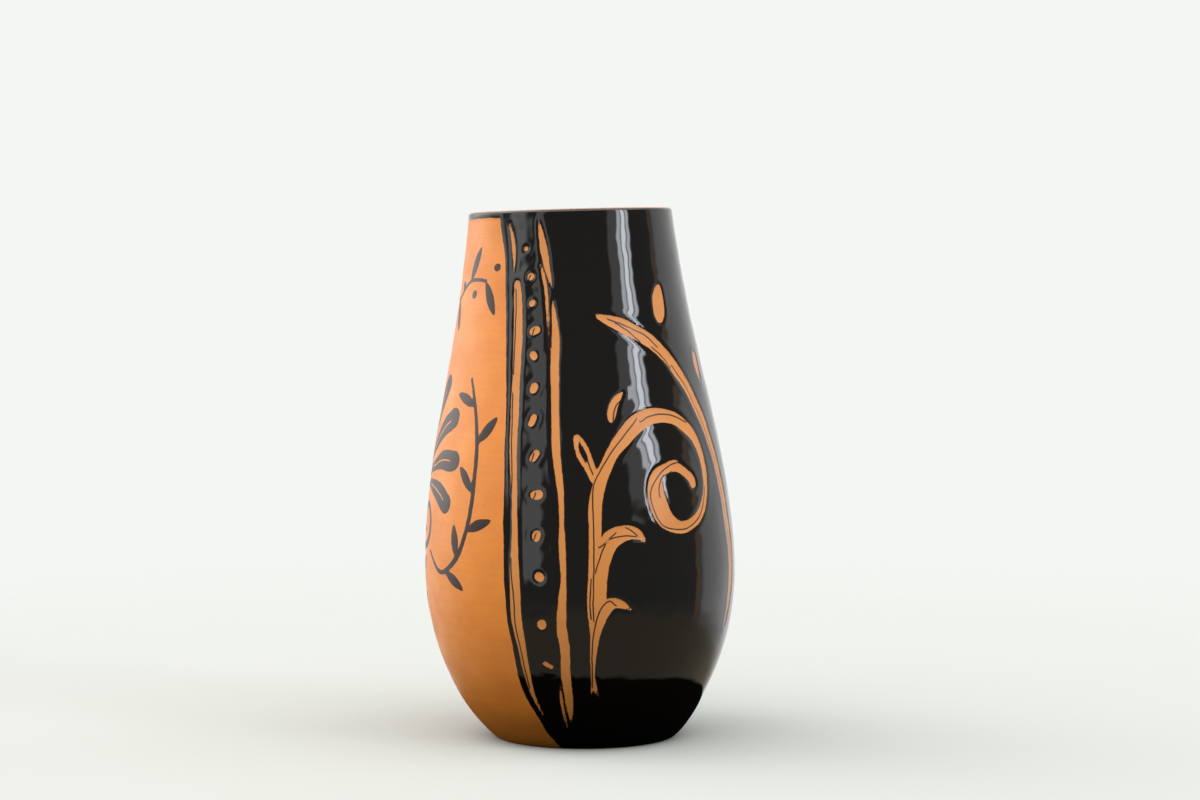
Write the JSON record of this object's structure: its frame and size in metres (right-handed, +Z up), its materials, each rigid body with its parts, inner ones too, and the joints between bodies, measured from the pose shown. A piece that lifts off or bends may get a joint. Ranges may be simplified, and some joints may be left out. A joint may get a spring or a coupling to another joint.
{
  "type": "painted ceramic vase",
  "caption": "Tall handleless egg-shaped clay vase with an open mouth and a flat underside, glossy black glaze around reserved terracotta scrolls and a dotted border beside a painted panel.",
  "frame": {"origin": "centre of the flat underside, on the surface that the vase stands on, below the middle of the belly", "axes": "+Z up out of the mouth, -Y out of the side that faces the viewer, with the painted panel towards -X"},
  "size_m": [0.2534, 0.2534, 0.4322],
  "materials": {
    "glazed_clay": "glossy near-black glaze with satin terracotta slip left bare in places"
  },
  "bodies": {
    "root": {"vase": "glazed_clay"}
  },
  "joints": []
}
